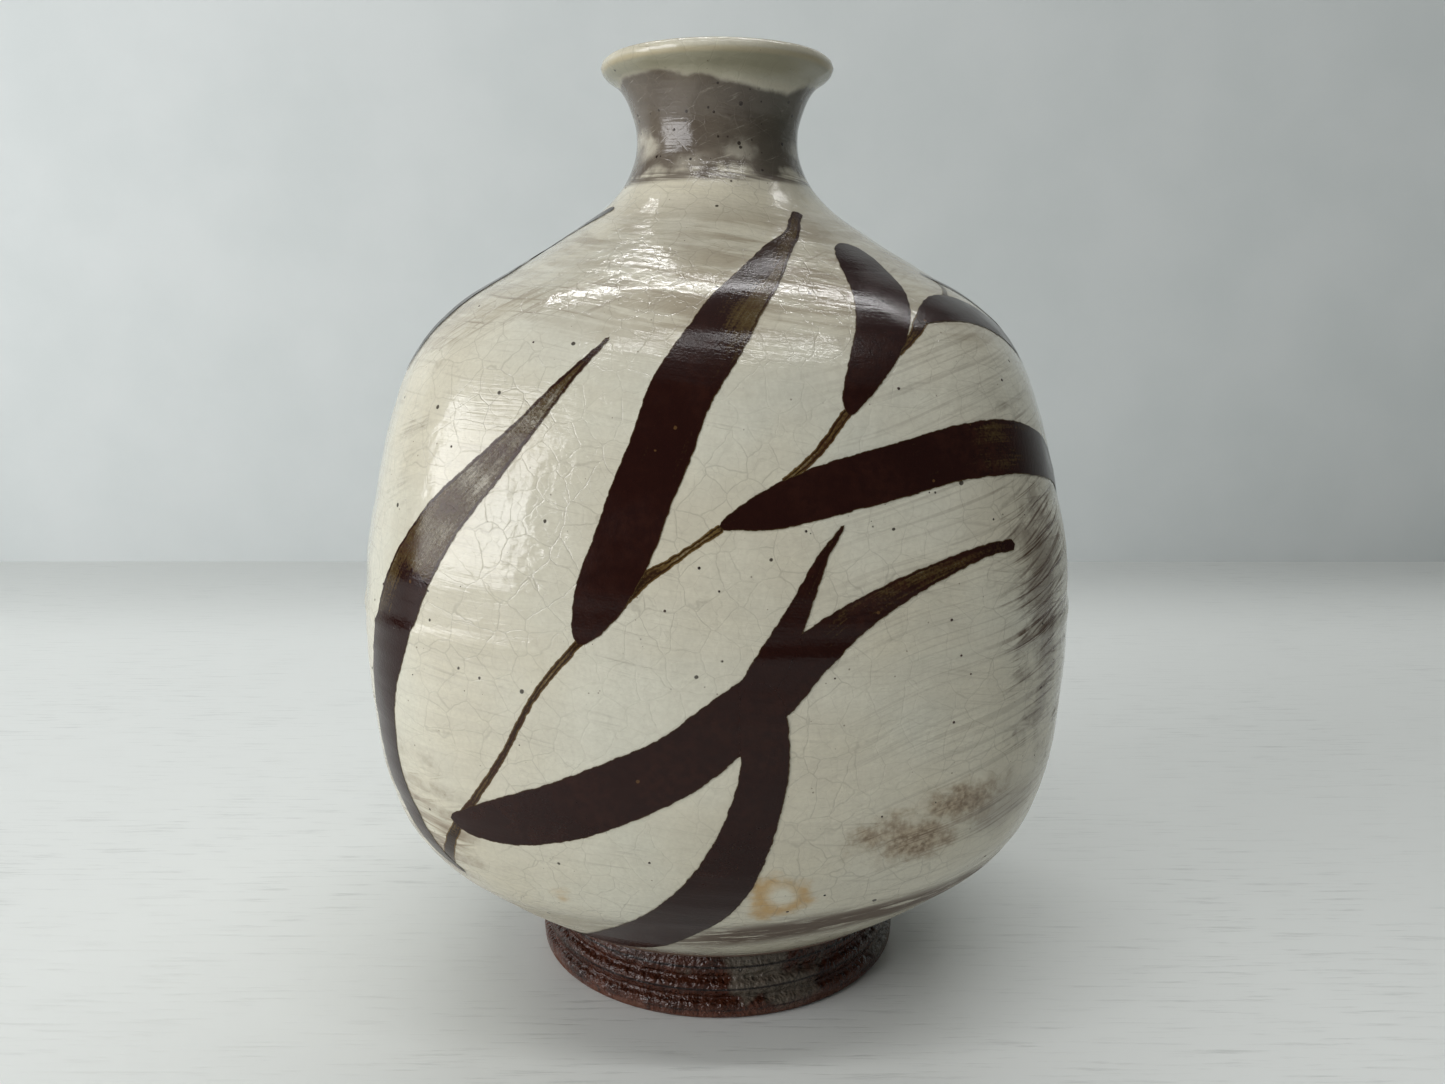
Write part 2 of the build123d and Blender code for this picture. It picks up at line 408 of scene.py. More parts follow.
def make_foot_finish():
    """Dark iron glaze over coarse clay, wiped bare at the standing edge and inside the recess."""
    material, shader, where = start_material("iron glazed foot")
    height = times(split(where)["Z"], 1000.0)
    away = times(vector_step("LENGTH", where)[1], 1000.0)
    clouds = use_group(MOTTLE, place=where, size=9.0, detail=4.0)[0]
    grain = use_group(MOTTLE, place=where, size=0.9, detail=2.0)[0]
    coarse = use_group(MOTTLE, place=where, size=2.6, detail=2.0)[0]
    ash = use_group(MOTTLE, place=where, size=15.0, detail=5.0)[0]
    grit = use_group(SPECKS, place=where, spacing=2.2, size=0.45, share=0.4)[0]

    clay = blend(clouds, (0.120, 0.036, 0.016, 1), (0.070, 0.022, 0.010, 1))
    clay = blend(times(grain, 0.4), clay, (0.16, 0.09, 0.06, 1))
    glaze = blend(grain, (0.016, 0.0045, 0.0025, 1), (0.048, 0.014, 0.006, 1))
    glaze = blend(times(clouds, 0.5), glaze, (0.070, 0.017, 0.007, 1))
    ash_mask = times(ramp(ash, 0.66, 0.88), 0.7)
    glaze = blend(ash_mask, glaze, (0.13, 0.115, 0.088, 1))

    # the colour goes near black in bands for the grooves, as painted shade, and the glaze thins to brown
    # where it ends above the standing edge
    groove_shade = ramp(calculate("PINGPONG", minus(height, 0.1), 2.15), 1.75, 2.1)
    glaze = blend(times(groove_shade, 0.95), glaze, (0.006, 0.002, 0.0015, 1))
    glaze_edge = plus(height, times(clouds, -2.4))
    glazed = times(ramp(glaze_edge, -0.7, 0.7), ramp(away, WIPED_WITHIN, WIPED_WITHIN + 1.0))
    thin = times(ramp(glaze_edge, 0.0, 2.6, 1.0, 0.0), 0.7)
    glaze = blend(thin, glaze, (0.11, 0.040, 0.024, 1))
    colour = blend(times(grit, 0.6), blend(glazed, clay, glaze), (0.008, 0.004, 0.003, 1))

    shine = plus(ramp(grain, 0.0, 1.0, 0.08, 0.26), times(ash_mask, 0.25))
    gloss = place(tree_of(glazed), "ShaderNodeMix", {0: glazed, 2: 0.78, 3: shine}).outputs[0]
    dress(shader, colour, gloss, plus(coarse, times(grain, 0.6)), strength=0.7, depth=0.5)
    shader.inputs["Specular IOR Level"].default_value = 0.38
    return material


FOOT_OUTLINE = [
    (0.0, 6.0, "sharp"),
    (27.5, 6.0),
    (31.0, 5.2),
    (32.3, 2.6),
    (33.0, 0.5),
    (34.0, 0.0, "sharp"),
    (FOOT_RADIUS - 1.0, 0.0, "sharp"),
    (FOOT_RADIUS - 0.2, 0.6),
    (FOOT_RADIUS, 1.8),
    (FOOT_RADIUS - 0.1, 3.4),
    (FOOT_RADIUS - 1.5, 4.4),
    (FOOT_RADIUS - 1.0, 5.4),
    (FOOT_RADIUS - 1.0, 7.4),
    (FOOT_RADIUS - 2.6, 8.5),
    (FOOT_RADIUS - 2.1, 9.6),
    (FOOT_RADIUS - 2.6, 12.0),
    (FOOT_RADIUS - 3.2, FOOT_TOP + 0.4, "sharp"),
    (0.0, FOOT_TOP + 0.4, "sharp"),
]
turned_foot = throw_form(
    "turned_foot",
    FOOT_OUTLINE,
    make_foot_finish(),
    closed=False,
    columns=300,
    rows=190,
    seen_rows=0.9,
    seen_length=0.6,
)
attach(turned_foot, "root")
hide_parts("foot_ring", "foot_iron_glaze", "foot_luting")

# ---------------------------------------------------------------------------------------------
# The bowls and the collar under the coats are coarse brown stoneware, which shows the rings that
# the fingers left and specks of sand and iron. The coats hide them all but where they are cut.
# ---------------------------------------------------------------------------------------------


IRON = (0.018, 0.010, 0.006, 1)


def finish_node(node, finish):
    """Gives a carried-over node its material."""
    mesh = bpy.data.objects[node].data
    mesh.materials.clear()
    mesh.materials.append(finish)


def make_brush_streaks():
    """The ridges and bare lines that a stiff straw brush leaves in slip, along a slanted course."""
    tree, given, result = make_group(
        "brush streaks",
        (
            ("Place", "Vector", None),
            ("Slant", "Float", 0.0),
            ("Length", "Float", 40.0),
            ("Width", "Float", 1.2),
            ("Bareness", "Float", 0.5),
        ),
        ("Streaks", "Relief"),
    )
    spot = split(scaled(given["Place"], 1000.0))
    bend = noise_at(scaled(given["Place"], 22.0))["Fac"]
    course = plus(plus(spot["Z"], times(spot["X"], given["Slant"])), times(bend, 7.0))
    along = [divided(spot[axis], given["Length"]) for axis in "XY"]
    lines = noise_at(joined(*along, divided(course, given["Width"])), detail=4.0, roughness=0.62)["Fac"]
    feed(result.inputs[0], ramp(lines, given["Bareness"], plus(given["Bareness"], 0.14)))
    feed(result.inputs[1], lines)
    return tree


BRUSH_STREAKS = make_brush_streaks()


def make_clay_finish():
    """Coarse stoneware with sand in it and faint rings."""
    material, shader, where = start_material("coarse stoneware")
    clouds = use_group(MOTTLE, place=where, size=18.0, detail=4.0)[0]
    sand = use_group(MOTTLE, place=where, size=0.8, detail=2.0)[0]
    grit = use_group(SPECKS, place=where, spacing=2.4, size=0.4, share=0.3)[0]
    rings = use_group(BRUSH_STREAKS, place=where, slant=0.0, length=80.0, width=1.6, bareness=0.5)
    colour = blend(clouds, (0.125, 0.062, 0.036, 1), (0.085, 0.045, 0.028, 1))
    colour = blend(times(sand, 0.35), colour, (0.21, 0.13, 0.085, 1))
    colour = blend(times(rings[0], 0.2), colour, (0.06, 0.03, 0.02, 1))
    colour = blend(times(grit, 0.7), colour, IRON)
    dress(shader, colour, ramp(sand, 0.0, 1.0, 0.72, 0.9), plus(sand, rings[1]), strength=0.6, depth=0.3)
    return material


clay_finish = make_clay_finish()
for node in ("lower_bowl", "upper_bowl", "neck_collar"):
    finish_node(node, clay_finish)

# ---------------------------------------------------------------------------------------------
# The inside is sealed with a coat of clear glaze poured in and out again. It lies straight on
# the clay, so it is brown and glossy, with runs down the walls and a darker pool on the floor.
# ---------------------------------------------------------------------------------------------


def make_crackle():
    """The fine net of cracks in a glaze that shrank more than its clay."""
    tree, given, result = make_group(
        "crackle", (("Place", "Vector", None), ("Cell", "Float", 6.0), ("Line", "Float", 0.1)), ("Lines",)
    )
    spot = scaled(given["Place"], divided(1000.0, given["Cell"]))
    wander = noise_at(spot, scale=1.4, detail=2.0)["Color"]
    wandered = vector_step("ADD", spot, scaled(wander, 0.35))[0]
    inputs = {"Vector": wandered, "Scale": 1.0}
    cells = place(tree, "ShaderNodeTexVoronoi", inputs, feature="DISTANCE_TO_EDGE").outputs
    across = times(cells["Distance"], given["Cell"])
    feed(result.inputs[0], ramp(across, 0.0, given["Line"], 1.0, 0.0))
    return tree


CRACKLE = make_crackle()


def make_inner_finish():
    """Poured glaze over bare clay, darker where it pooled."""
    material, shader, where = start_material("poured inner glaze")
    height = times(split(where)["Z"], 1000.0)
    clouds = use_group(MOTTLE, place=where, size=20.0, detail=4.0)[0]
    runs = noise_at(vector_step("MULTIPLY", where, (170.0, 170.0, 12.0))[0], detail=3.0)["Fac"]
    net = use_group(CRACKLE, place=where, cell=5.0, line=0.12)[0]
    grit = use_group(SPECKS, place=where, spacing=4.0, size=0.4, share=0.3)[0]
    colour = blend(clouds, (0.30, 0.235, 0.150, 1), (0.22, 0.165, 0.105, 1))
    colour = blend(ramp(runs, 0.52, 0.66, 0.0, 0.4), colour, (0.40, 0.34, 0.235, 1))
    colour = blend(ramp(height, 18.0, 34.0, 0.6, 0.0), colour, (0.12, 0.095, 0.055, 1))
    colour = blend(times(net, 0.3), colour, (0.07, 0.05, 0.03, 1))
    colour = blend(times(grit, 0.8), colour, IRON)
    dress(shader, colour, ramp(clouds, 0.0, 1.0, 0.08, 0.18), runs, strength=0.4, depth=0.4)
    return material


inner_finish = make_inner_finish()
for node in ("lower_inner_glaze", "upper_inner_glaze"):
    finish_node(node, inner_finish)

# ---------------------------------------------------------------------------------------------
# The outside of the bottle is two thrown halves and a collar, brushed with white slip and covered
# with one clear, crackled glaze that runs over the lip and down the throat.
# ---------------------------------------------------------------------------------------------

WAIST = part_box("lower_bowl")[1].z / MM
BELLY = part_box("lower_clear_glaze")[1].x / MM - 0.7
NECK_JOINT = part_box("upper_bowl")[1].z / MM
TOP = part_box("neck_clear_glaze")[1].z / MM
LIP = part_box("neck_clear_glaze")[1].x / MM
COAT_DEPTH = 0.8

COAT_OUTSIDE = [
    (39.9, 14.0),
    (BELLY - 26.0, 20.2),
    (BELLY - 17.6, 28.6),
    (BELLY - 8.1, 40.2),
    (BELLY - 2.5, 54.8),
    (BELLY - 0.3, 72.5),
    (BELLY, WAIST),
    (BELLY - 0.8, 101.0),
    (BELLY - 3.2, 112.1),
    (BELLY - 7.2, 128.0),
    (BELLY - 12.2, 139.9),
    (BELLY - 19.0, 147.9),
    (BELLY - 31.0, 155.8),
    (BELLY - 42.5, 163.0),
    (23.0, NECK_JOINT),
    (18.9, 177.0),
    (17.4, 183.5),
    (18.5, 189.5),
    (21.2, 194.6),
    (LIP - 0.6, 197.0),
    (LIP, TOP - 1.9),
    (LIP - 0.5, TOP - 0.6),
    (LIP - 1.9, TOP),
    (LIP - 4.6, TOP - 1.1),
    (16.6, 195.5),
    (13.4, 191.0),
    (12.0, 184.0),
    (12.0, NECK_JOINT),
]


def inside_of(points, depth):
    """The same line a constant depth to its left, for the hidden side of a coat; its ends stay level."""
    moved = []
    last = len(points) - 1
    for index, point in enumerate(points):
        before, after = points[max(index - 1, 0)], points[min(index + 1, last)]
        run, rise = after[0] - before[0], after[1] - before[1]
        length = math.hypot(run, rise)
        if index in (0, last):
            moved.append((point[0] - depth * length / rise, point[1], "sharp"))
        else:
            moved.append((point[0] - depth * rise / length, point[1] + depth * run / length))
    return moved


def band(value, middle, inner, outer, peak=1.0):
    """A smooth band round a middle value, full to its inner half width and gone at its outer one."""
    return ramp(calculate("ABSOLUTE", minus(value, middle)), inner, outer, peak, 0.0)


def make_patch():
    """A ragged patch round a point of the surface, with its own half lengths, in millimetres."""
    tree, given, result = make_group(
        "patch",
        (
            ("Place", "Vector", None),
            ("Centre", "Vector", None),
            ("Reach", "Vector", (10.0, 10.0, 10.0)),
            ("Raggedness", "Float", 0.6),
            ("Softness", "Float", 0.4),
        ),
        ("Mask",),
    )
    spot = scaled(given["Place"], 1000.0)
    share = vector_step("DIVIDE", vector_step("SUBTRACT", spot, given["Centre"])[0], given["Reach"])[0]
    noise = noise_at(spot, scale=0.16, detail=5.0, roughness=0.6)["Fac"]
    ragged = times(minus(noise, 0.5), times(given["Raggedness"], 3.0))
    away = plus(vector_step("LENGTH", share)[1], ragged)
    feed(result.inputs[0], ramp(away, minus(1.0, given["Softness"]), 1.0, 1.0, 0.0))
    return tree


PATCH = make_patch()

CREAM = (0.665, 0.655, 0.545, 1)
WARM_CREAM = (0.62, 0.585, 0.455, 1)
THIN_SLIP = (0.50, 0.465, 0.375, 1)
GREY_STREAK = (0.235, 0.20, 0.155, 1)
BARE_CLAY = (0.070, 0.036, 0.017, 1)
MAUVE_CLAY = (0.068, 0.047, 0.034, 1)
OCHRE = (0.46, 0.27, 0.07, 1)


class SlipCoat:
    """The place on the coat, and the clouds and brush lines that its layers share."""

    def __init__(self, where):
        self.where = where
        self.level = split(scaled(where, 1000.0))
        self.height = self.level["Z"]
        self.clouds = self.mottle(34.0, 3.0)
        self.small_clouds = self.mottle(7.0, 4.0)
        self.broad = self.streaks(0.10, 55.0, 3.4, 0.42)
        self.fine = self.streaks(0.16, 26.0, 0.75, 0.56)
        self.slanted = self.streaks(-0.55, 20.0, 0.9, 0.50)[0]
        self.swept = self.streaks(-0.30, 38.0, 0.85, 0.50)[0]

    def mottle(self, size, detail):
        """Clouds of a size in millimetres."""
        return use_group(MOTTLE, place=self.where, size=size, detail=detail)[0]

    def streaks(self, slant, length, width, bareness):
        """Brush lines, as their bare lines and their relief."""
        return use_group(
            BRUSH_STREAKS, place=self.where, slant=slant, length=length, width=width, bareness=bareness
        )

    def specks(self, spacing, size, share):
        """Iron specks of a size and spacing in millimetres."""
        return use_group(SPECKS, place=self.where, spacing=spacing, size=size, share=share)[0]

    def patch(self, azimuth, height, radius, reach, raggedness=0.6, softness=0.4):
        """A ragged patch at a turn from the painted face, a height and a distance from the axis."""
        turn = math.radians(azimuth)
        centre = (radius * math.sin(turn), -radius * math.cos(turn), height)
        return use_group(
            PATCH, place=self.where, centre=centre, reach=reach, raggedness=raggedness, softness=softness
        )[0]


def lay_slip(coat):
    """Slip, thicker and thinner, with warm and grey stains under the glaze and a fine sandy grain."""
    stains = coat.mottle(52.0, 5.0)
    colour = blend(coat.clouds, CREAM, WARM_CREAM)
    colour = blend(times(stains, 0.30), colour, (0.54, 0.475, 0.355, 1))
    colour = blend(ramp(stains, 0.0, 0.45, 0.28, 0.0), colour, (0.50, 0.505, 0.44, 1))
    colour = blend(times(coat.mottle(0.7, 3.0), 0.10), colour, GREY_STREAK)
    thinned = times(coat.broad[0], ramp(coat.clouds, 0.0, 1.0, 0.35, 1.0))
    colour = blend(times(thinned, 0.24), colour, THIN_SLIP)
    to_the_right, to_the_front = ramp(coat.level["X"], 4.0, 44.0), ramp(coat.level["Y"], -20.0, -50.0)
    right_side = times(coat.swept, times(to_the_right, to_the_front))
    colour = blend(times(right_side, 0.30), colour, GREY_STREAK)
    return blend(times(times(coat.fine[0], coat.small_clouds), 0.30), colour, GREY_STREAK)


def draw_dry_strokes(coat, colour):
    """Dry strokes where the brush ran out: round the shoulder, and low on the left and the back."""
    dry = coat.patch(-25, 150, 52, (46, 30, 6), 0.5, 0.7)
    for more in (
        coat.patch(-48, 145, 62, (20, 22, 7), 0.5, 0.7),
        coat.patch(28, 156, 46, (26, 18, 4.5), 0.5, 0.7),
        coat.patch(165, 148, 58, (60, 26, 6), 0.5, 0.7),
        coat.patch(140, 52, 74, (34, 30, 14), 0.6, 0.6),
    ):
        dry = highest(dry, more)
    dry_lines = highest(coat.fine[0], times(coat.slanted, 0.6))
    colour = blend(times(times(dry, dry_lines), 0.9), colour, GREY_STREAK)
    low_left = coat.patch(-45, 49, 80, (20, 20, 24), 0.5, 0.8)
    brown = times(low_left, highest(coat.swept, coat.broad[0]))
    colour = blend(times(brown, 0.8), colour, (0.17, 0.115, 0.065, 1))
    smear = coat.streaks(0.12, 34.0, 2.4, 0.40)[0]
    round_shoulder = band(coat.height, 154.0, 5.0, 17.0)
    smeared = times(times(round_shoulder, smear), ramp(coat.clouds, 0.1, 0.8, 0.35, 1.0))
    colour = blend(times(smeared, 0.85), colour, (0.27, 0.225, 0.155, 1))
    tint = times(round_shoulder, ramp(coat.small_clouds, 0.0, 1.0, 0.10, 0.30))
    return blend(tint, colour, (0.36, 0.31, 0.22, 1))


def rub_corners(coat, colour):
    """The corners where the slip is rubbed down to the clay, and how much of it is rubbed off."""
    worn = coat.patch(47, 102, 84, (16, 18, 44), 0.5, 0.7)
    for azimuth, middle, reach in ((-137, 96, 34), (133, 112, 40), (-47, 128, 20), (-52, 66, 16)):
        worn = highest(worn, times(coat.patch(azimuth, middle, 84, (11, 12, reach), 0.5, 0.7), 0.6))
    rubbed = highest(times(coat.slanted, 0.9), times(coat.fine[0], 0.7))
    colour = blend(times(times(worn, 0.9), highest(rubbed, coat.swept)), colour, BARE_CLAY)
    core = times(coat.patch(46, 100, 84, (9, 10, 38), 0.8, 0.9), ramp(coat.swept, 0.0, 1.0, 0.6, 1.0))
    return blend(core, colour, BARE_CLAY), times(worn, rubbed)


def flash_ochre(coat, colour):
    """Flashes of gold low on the front, and of ochre to the right of them."""
    small_gold = times(coat.patch(-24, 41, 74, (4, 6, 3.4), 0.6, 0.6), 0.7)
    gold = highest(coat.patch(9, 42, 71, (7.5, 12, 8), 0.5, 0.6), small_gold)
    colour = blend(times(gold, 0.85), colour, OCHRE)
    colour = blend(times(coat.patch(9.5, 43, 71, (4.0, 9, 4.5), 0.4, 0.7), 0.85), colour, CREAM)
    lower_ochre = coat.patch(27, 54, 77, (14, 14, 7.0), 0.6, 0.8)
    ochre = highest(lower_ochre, coat.patch(34, 60, 81, (11, 12, 6.5), 0.6, 0.8))
    colour = blend(times(ochre, 0.5), colour, (0.30, 0.18, 0.065, 1))
    dusted = times(ochre, highest(coat.swept, coat.mottle(1.1, 3.0)))
    colour = blend(times(dusted, 0.8), colour, (0.115, 0.062, 0.022, 1))
    shade = times(coat.patch(41, 57, 82, (18, 18, 9), 0.5, 0.9), ramp(coat.swept, 0.0, 1.0, 0.5, 0.95))
    return blend(shade, colour, (0.20, 0.165, 0.125, 1))


def skip_round_foot(coat, colour):
    """The band by the foot where the brush skipped, above a rolled edge of thick slip, and its mask."""
    rise = times(highest(coat.level["X"], 0.0), 0.17)
    skipped = times(band(minus(coat.height, rise), 28.5, 2.0, 6.5), coat.streaks(-0.17, 11.0, 1.1, 0.34)[0])
    to_the_right = ramp(coat.level["X"], -30.0, 4.0, 0.3, 1.0)
    colour = blend(times(skipped, to_the_right), colour, (0.100, 0.066, 0.042, 1))
    colour = blend(band(coat.height, 19.5, 0.15, 0.6, 0.5), colour, GREY_STREAK)
    under = ramp(coat.height, 14.5, 18.0, 1.0, 0.0)
    return blend(times(under, 0.35), colour, WARM_CREAM), skipped


def thin_on_neck(coat, colour):
    """The neck, where thin slip lets the clay show mauve up to the pale lip, with painted shade under the
    lip, and its mask.
    """
    height, side = coat.height, coat.level["X"]
    ragged = times(coat.small_clouds, 3.0)
    neck_low = ramp(minus(height, ragged), 172.8, 175.2)
    dip = minus(ramp(side, -12.0, 12.0, 0.0, 3.6), ramp(side, 14.0, 21.0, 0.0, 3.2))
    neck_high = ramp(plus(plus(height, dip), times(ragged, 0.35)), 194.6, 196.0, 1.0, 0.0)
    out = calculate("SQRT", plus(times(side, side), times(coat.level["Y"], coat.level["Y"])))
    flare = highest(0.0, minus(height, 188.0))
    outside = calculate("GREATER_THAN", minus(out, times(flare, 0.65)), 14.8)
    neck = times(times(neck_low, neck_high), times(outside, ramp(height, 196.5, 197.5, 1.0, 0.0)))
    mauve = blend(coat.small_clouds, MAUVE_CLAY, (0.105, 0.082, 0.062, 1))
    mauve = blend(times(ramp(side, 4.0, 15.0), coat.clouds), mauve, (0.045, 0.040, 0.026, 1))
    colour = blend(times(neck, 0.92), colour, mauve)
    for azimuth, middle, strength in (
        (14, 179.5, 0.6), (-52, 180.5, 0.8), (-66, 183, 0.8), (-18, 177, 0.5), (70, 181, 0.6), (170, 184, 0.9)
    ):
        splash = coat.patch(azimuth, middle, 18, (5.5, 5.5, 3.2), 0.7, 0.9)
        colour = blend(times(splash, strength), colour, THIN_SLIP)
    scuffs = coat.streaks(-0.4, 5.0, 0.6, 0.6)[0]
    colour = blend(times(times(scuffs, neck), 0.35), colour, THIN_SLIP)
    collar = times(band(height, 174.6, 0.4, 1.6), ramp(coat.fine[1], 0.38, 0.55))
    colour = blend(times(collar, 0.8), colour, MAUVE_CLAY)
    # painted shade under the lip: its underside is coloured a darker green-grey, fading out towards the rim
    lip_underside_shade = times(ramp(height, 191.5, 195.5), ramp(height, 197.0, 198.6, 1.0, 0.15))
    lip_underside_shade = times(times(lip_underside_shade, outside), ramp(neck, 0.0, 1.0, 1.0, 0.0))
    colour = blend(times(lip_underside_shade, 0.85), colour, (0.235, 0.225, 0.155, 1))
    lip_line = band(height, 197.6, 0.1, 0.8)
    return blend(times(lip_line, 0.35), colour, (0.46, 0.36, 0.18, 1)), neck


def fleck_and_crackle(coat, colour, neck):
    """Iron specks, denser on the neck, and the net of cracks over them all, with the net's mask."""
    specks = highest(coat.specks(4.2, 0.42, 0.36), times(coat.specks(2.1, 0.36, 0.5), neck))
    colour = blend(times(coat.specks(2.0, 0.17, 0.5), 0.6), colour, BARE_CLAY)
    colour = blend(times(specks, 0.9), colour, IRON)
    cracks = use_group(CRACKLE, place=coat.where, cell=5.6, line=0.16)[0]
    small_cracks = use_group(CRACKLE, place=coat.where, cell=2.9, line=0.09)[0]
    net = highest(cracks, times(small_cracks, 0.45))
    crackle_here = ramp(coat.mottle(26.0, 2.0), 0.15, 0.7, 0.25, 1.0)
    return blend(times(times(net, crackle_here), 0.27), colour, (0.20, 0.175, 0.135, 1)), net


def make_glaze_finish():
    """Brushed white slip over brown clay, under a clear crackled glaze."""
    material, shader, where = start_material("slipped and glazed stoneware")
    coat = SlipCoat(where)
    colour = draw_dry_strokes(coat, lay_slip(coat))
    colour, rubbed = rub_corners(coat, colour)
    colour, skipped = skip_round_foot(coat, flash_ochre(coat, colour))
    colour, neck = thin_on_neck(coat, colour)
    colour, net = fleck_and_crackle(coat, colour, neck)
    dull = highest(times(rubbed, 0.5), times(skipped, 0.35))
    gloss = plus(ramp(coat.clouds, 0.0, 1.0, 0.10, 0.17), dull)
    relief = plus(times(coat.broad[1], 1.1), times(coat.fine[1], 0.28))
    relief = minus(relief, times(net, 0.10))
    relief = plus(relief, times(coat.mottle(2.2, 2.0), 0.12))
    relief = plus(relief, times(coat.mottle(7.5, 3.0), 0.5))
    dress(shader, colour, gloss, relief, strength=0.6, depth=0.34)
    return material


glaze_coat = throw_form(
    "glaze_coat",
    COAT_OUTSIDE + inside_of(COAT_OUTSIDE, COAT_DEPTH)[::-1],
    make_glaze_finish(),
    columns=320,
    rows=296,
    seen_rows=0.84,
    seen_length=0.502,
    ring_depth=0.35,
    ring_spacing=3.2,
    wobble=0.9,
    ridge_depth=0.35,
)
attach(glaze_coat, "root")
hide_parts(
    "lower_clear_glaze",
    "upper_clear_glaze",
    "neck_clear_glaze",
    "lower_white_slip",
    "upper_white_slip",
    "neck_white_slip",
    "waist_luting",
    "neck_luting",
)

# ---------------------------------------------------------------------------------------------
# The painting is bamboo, drawn in iron pigment with a loaded pointed brush on the slip: thin
# stems first, then one press and lift of the brush for each leaf. It fires near black where it
# is thick, amber at its edges, and streaky where the brush ran dry.
# ---------------------------------------------------------------------------------------------

STROKE_STEP = 0.5
STROKE_MARGIN = 0.5
STROKE_RIBS = 6
STROKE_LIFT = 0.03
LIFT_PER_STROKE = 0.006
COURSE_PER_STROKE = 200.0
MM_PER_DEGREE = 1.25
SHARPEST_TIP = 0.4
OUTSIDE_ALL = 0.2
ON_A_CORNER = 0.02
FAR_OUTSIDE = -100.0

# each stroke is a list of stations along its middle: turn from the middle of the painted face in
# degrees, height and half width in millimetres, load of pigment, and how much the load leans to one side
STEMS = [
    [(-43, 43, 1.5, 0.9), (-36, 56, 1.0, 0.8), (-33, 61, 0.8, 0.6), (-28, 71, 0.65, 0.5),
     (-23, 83, 0.65, 0.5), (-17, 93, 0.8, 0.6)],
    [(-13, 98, 1.1, 0.8), (-9, 103.5, 1.1, 0.8), (-6, 106, 0.8, 0.6), (-2, 109.5, 0.65, 0.5),
     (1, 112, 0.9, 0.7)],
    [(9, 119, 0.7, 0.5), (14, 124, 0.8, 0.5), (19, 131, 0.9, 0.6)],
    [(28, 140, 0.8, 0.5), (32, 143, 0.9, 0.7), (36, 146, 1.4, 0.9), (43, 148.5, 0.8, 0.6),
     (52, 151, 0.6, 0.4), (62, 154, 0.5, 0.3)],
    [(148, 34, 1.5, 0.9), (156, 50, 0.9, 0.7), (165, 70, 0.7, 0.5), (172, 84, 0.7, 0.5), (180, 99, 0.9, 0.6),
     (190, 116, 0.7, 0.5), (197, 131, 0.9, 0.6), (206, 147, 0.8, 0.5)],
    [(-122, 52, 1.2, 0.8), (-114, 68, 0.8, 0.6), (-105, 88, 0.7, 0.5), (-98, 104, 0.9, 0.7),
     (-92, 122, 0.7, 0.5), (-84, 140, 0.8, 0.6)],
]
